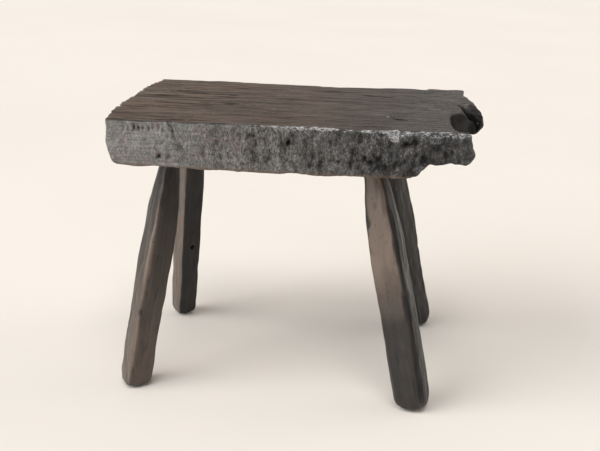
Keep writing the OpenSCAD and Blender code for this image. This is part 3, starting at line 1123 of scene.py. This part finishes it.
def leg_material():
    g = new_material("old_waxed_billet")
    grain = g.attribute("grain", "Vector")
    relief, edge, worn = (g.attribute(name) for name in ("relief", "edge", "painted_light"))
    bands = g.noise(grain, (0.12, 0.12, 0.005), 3.0, 0.55)
    fibre = g.noise(grain, (0.9, 0.9, 0.03), 5.0, 0.7)
    mottle = g.noise(grain, (0.035, 0.035, 0.025), 4.0, 0.6)
    speck = g.noise(grain, (0.3, 0.3, 0.2), 4.0, 0.7)
    colour = g.stain(
        (0.02, 0.0165, 0.0145),
        (bands, (0.35, 0.65), (0.04, 0.032, 0.027)),
        (fibre, (0.5, 0.75, 0.0, 0.55), (0.012, 0.0105, 0.0095)),
        (mottle, (0.5, 0.7, 0.0, 0.4), (0.065, 0.052, 0.044)),
    )
    # painted light and shade: worn holds the light and shade painted on each face, which makes lit
    # faces paler and shaded faces darker
    paler = g.math("MAXIMUM", g.product(worn, g.span(mottle, 0.25, 0.6, 0.6, 0.95)), 0.0)
    colour = g.mix(paler, colour, (0.16, 0.118, 0.092))
    darker = g.math("MAXIMUM", g.product(worn, -0.6), 0.0)
    colour = g.mix(darker, colour, (0.01, 0.009, 0.0085))
    # paler along convex ridges: partly worn wood, partly painted highlight
    colour = g.stain(colour, (edge, (1.0, 2.2, 0.0, 0.5), (0.13, 0.125, 0.12)))
    glint = g.product(
        g.span(edge, 0.8, 1.5),
        g.span(g.axes(grain)[2], -130, -50),
        g.span(speck, 0.62, 0.45, 0.2, 0.85),
    )
    colour = g.stain(
        g.mix(glint, colour, (0.4, 0.43, 0.45)),
        (speck, (0.58, 0.7, 0.0, 0.6), DARK_WOOD),
        # painted shade: near black in the scars and dents of the legs
        (relief, (-0.2, -1.0, 0.0, 0.8), DARK_WOOD),
    )
    roughness = g.span(mottle, 0.3, 0.7, 0.36, 0.5)
    normal = g.bump(speck, 0.25, 0.001, g.bump(fibre, 0.3, FINE_BUMP))
    coat = g.span(edge, 1.0, 2.2, 0.15, 0.8)
    specular = g.span(edge, 1.0, 2.2, 0.28, 0.6)
    return g.finish(colour, roughness, normal, coat, 0.2, specular)


def wedge_material():
    g = new_material("split_wedge_wood")
    metres = g.node("ShaderNodeTexCoord").outputs["Object"]
    coords = g.vector("MULTIPLY", metres, (1 / MM, 1 / MM, 1 / MM)).outputs["Vector"]
    fibre = g.noise(coords, (0.9, 0.9, 0.06), 4.0, 0.65)
    colour = g.mix(g.span(fibre, 0.35, 0.65), (0.2, 0.12, 0.06), (0.38, 0.26, 0.15))
    return g.finish(colour, 0.7, g.bump(fibre, 0.4, 0.0005))


def dress_wedges():
    material = wedge_material()
    for leg in LEGS:
        wedge = frame["nodes"]["wedge_" + leg.place]
        wedge.data.materials.clear()
        wedge.data.materials.append(material)


# -------- Stage, light and camera --------


WALL_COLOUR = (0.45, 0.4, 0.355)
CEILING_COLOUR = (0.6, 0.59, 0.58)
DIM_COLOUR = (0.13, 0.125, 0.12)
WINDOW_COLOUR = (2.3, 2.45, 2.6)
BACKDROP_COLOUR = (0.83, 0.79, 0.74)

# Where the parts of the room are, seen from the stool.
CEILING_SIDE = (0, 0, 1)
WINDOW_SIDE = (-0.72, -0.62, 0.25)
DIM_SIDE = (0.75, -0.8, 0.1)

# Broad distant lights: name, azimuth, elevation, strength, softness in degrees and colour.
SUNS = [
    ("key_left", -66, 36, 1.5, 45, (1.0, 0.97, 0.93)),
    ("overhead", 12, 68, 0.9, 30, (1.0, 0.98, 0.96)),
    ("fill_right", 105, 24, 0.6, 45, (1.0, 0.96, 0.92)),
]

# Where the camera is seen from the stool, in degrees and metres, and its lens in millimetres.
CAMERA_AZIMUTH = 6.0
CAMERA_ELEVATION = 18.9
CAMERA_ROLL = 1.16
CAMERA_DISTANCE = 1.126
CAMERA_LENS = 54.1
# It looks at a place just beside the stool's middle, at this share of its height.
AIM_X, AIM_Y, AIM_SHARE = -0.0017, -0.002, 0.5365


def direction(azimuth, elevation):
    """Towards an azimuth (0 is the front, 90 the right) and an elevation, in degrees."""
    a, e = math.radians(azimuth), math.radians(elevation)
    return Vector((math.sin(a) * math.cos(e), -math.cos(a) * math.cos(e), math.sin(e)))


def floor_material():
    g = new_material("pale_floor")
    coords = g.node("ShaderNodeTexCoord").outputs["Object"]
    cloud = g.node("ShaderNodeTexNoise", {"Vector": coords, "Scale": 1.2, "Detail": 3.0})
    cloud = cloud.outputs["Fac"]
    colour = g.mix(g.span(cloud, 0.3, 0.7), (0.795, 0.75, 0.695), (0.815, 0.77, 0.715))
    return g.finish(colour, 0.75, g.bump(cloud, 0.05, 0.001), specular=0.2)


def make_floor():
    half = 30.0
    mesh = bpy.data.meshes.new("floor")
    corners = [(-half, -half, 0), (half, -half, 0), (half, half, 0), (-half, half, 0)]
    mesh.from_pydata(corners, [], [(0, 1, 2, 3)])
    mesh.materials.append(floor_material())
    add_object("floor", mesh)


def add_sun(name, azimuth, elevation, strength, softness, colour):
    light = bpy.data.lights.new(name, "SUN")
    light.energy = strength
    light.angle = math.radians(softness)
    light.color = colour
    lamp = add_object(name, light)
    lamp.rotation_euler = direction(azimuth, elevation).to_track_quat("Z", "Y").to_euler()


def make_world():
    """A soft room: warm walls, a brighter ceiling, a broad cool window to the front left and a dim
    side to the front right. The camera itself sees a plain pale backdrop."""
    world = bpy.data.worlds.new("soft_room")
    bpy.context.scene.world = world
    g = Graph(world)
    coords = g.node("ShaderNodeTexCoord").outputs["Generated"]

    def toward(side):
        """The cosine of the angle between a ray and a side of the room."""
        return g.vector("DOT_PRODUCT", coords, Vector(side).normalized()).outputs["Value"]

    colour = g.stain(
        WALL_COLOUR,
        (toward(CEILING_SIDE), (0.45, 0.95), CEILING_COLOUR),
        (toward(DIM_SIDE), (0.1, 0.8), DIM_COLOUR),
        (toward(WINDOW_SIDE), (0.72, 0.97), WINDOW_COLOUR),
    )
    seen = g.node("ShaderNodeLightPath").outputs["Is Camera Ray"]
    colour = g.mix(seen, colour, BACKDROP_COLOUR)
    background = g.node("ShaderNodeBackground", {"Color": colour})
    g.node("ShaderNodeOutputWorld", {"Surface": background.outputs["Background"]})


def make_camera():
    """The camera stands a little right of the front and looks down at the stool."""
    low, high = CAD_BOUNDS
    target = Vector(((low.x + high.x) / 2 + AIM_X, AIM_Y, high.z * AIM_SHARE))
    back = direction(CAMERA_AZIMUTH, CAMERA_ELEVATION)
    camera = add_object("camera", bpy.data.cameras.new("camera"))
    camera.data.sensor_width = 36
    camera.data.lens = CAMERA_LENS
    camera.data.clip_end = 200
    roll = Matrix.Rotation(math.radians(CAMERA_ROLL), 3, "Z")
    turn = back.to_track_quat("Z", "Y").to_matrix() @ roll
    camera.matrix_world = Matrix.Translation(target + back * CAMERA_DISTANCE) @ turn.to_4x4()
    bpy.context.scene.camera = camera


def make_stage():
    make_floor()
    make_world()
    for sun in SUNS:
        add_sun(*sun)
    make_camera()
    bpy.context.scene.view_settings.view_transform = "Standard"


LEG_MATERIAL = leg_material()
make_seat()
for each in LEGS:
    make_leg(each)
dress_wedges()
make_stage()
